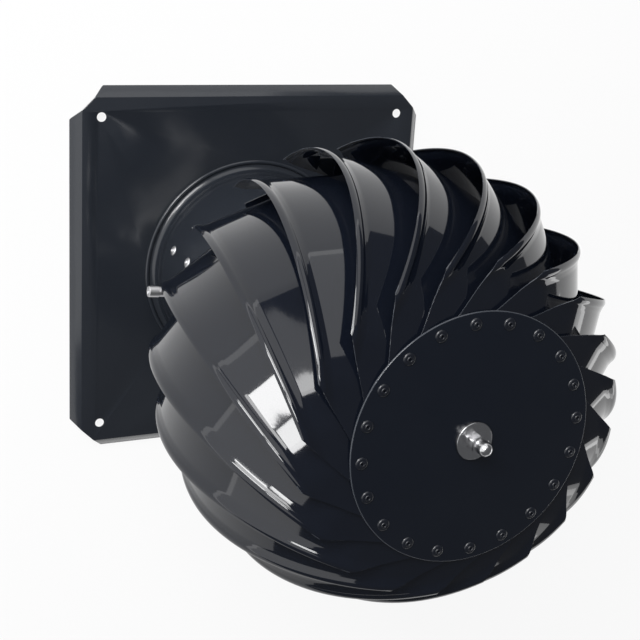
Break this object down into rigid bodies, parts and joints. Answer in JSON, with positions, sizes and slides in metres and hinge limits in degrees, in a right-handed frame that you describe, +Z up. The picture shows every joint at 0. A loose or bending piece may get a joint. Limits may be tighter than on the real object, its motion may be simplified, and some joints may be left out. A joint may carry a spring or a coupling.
{
  "type": "chimney cowl",
  "caption": "Rotating chimney cowl: square lipped base plate, round collar, and a globe of overlapping rolled blades under a riveted disc, spinning on a central axle.",
  "frame": {"origin": "centre of the base plate on the plane that its lips stand on", "axes": "+Z up along the axle; +X and +Y along the base plate's sides"},
  "size_m": [0.3042, 0.3042, 0.3893],
  "materials": {
    "painted_sheet": "gloss",
    "painted_rivets": "gloss",
    "bright_steel": "polished",
    "turned_steel": "turned",
    "bearing_steel": "ground"
  },
  "bodies": {
    "base": {"base_plate": "painted_sheet", "collar": "painted_sheet", "bearing_bridge": "painted_sheet", "bridge_rivets": "bright_steel", "collar_screw": "bright_steel", "screw_spacer": "bright_steel", "screw_nut": "bright_steel", "bearing_housing": "turned_steel", "housing_rivets": "bright_steel", "lower_bearing_outer_ring": "bearing_steel", "upper_bearing_outer_ring": "bearing_steel"},
    "rotor": {"lower_bearing_inner_ring": "bearing_steel", "upper_bearing_inner_ring": "bearing_steel", "axle": "turned_steel", "lower_nut": "bright_steel", "top_disc": "painted_sheet", "top_washer": "bright_steel", "cap_nut": "bright_steel", "lower_ring": "painted_sheet", "top_rivets": "painted_rivets", "lower_rivets": "painted_rivets", "blade_01": "painted_sheet", "blade_02": "painted_sheet", "blade_03": "painted_sheet", "blade_04": "painted_sheet", "blade_05": "painted_sheet", "blade_06": "painted_sheet", "blade_07": "painted_sheet", "blade_08": "painted_sheet", "blade_09": "painted_sheet", "blade_10": "painted_sheet", "blade_11": "painted_sheet", "blade_12": "painted_sheet", "blade_13": "painted_sheet", "blade_14": "painted_sheet", "blade_15": "painted_sheet", "blade_16": "painted_sheet", "blade_17": "painted_sheet", "blade_18": "painted_sheet", "blade_19": "painted_sheet", "blade_20": "painted_sheet"}
  },
  "joints": [
    {"name": "rotor_spin", "type": "hinge", "parent": "base", "child": "rotor", "pos_m": [0, 0, 0.165], "axis": [0, 0, 1], "continuous": true}
  ]
}
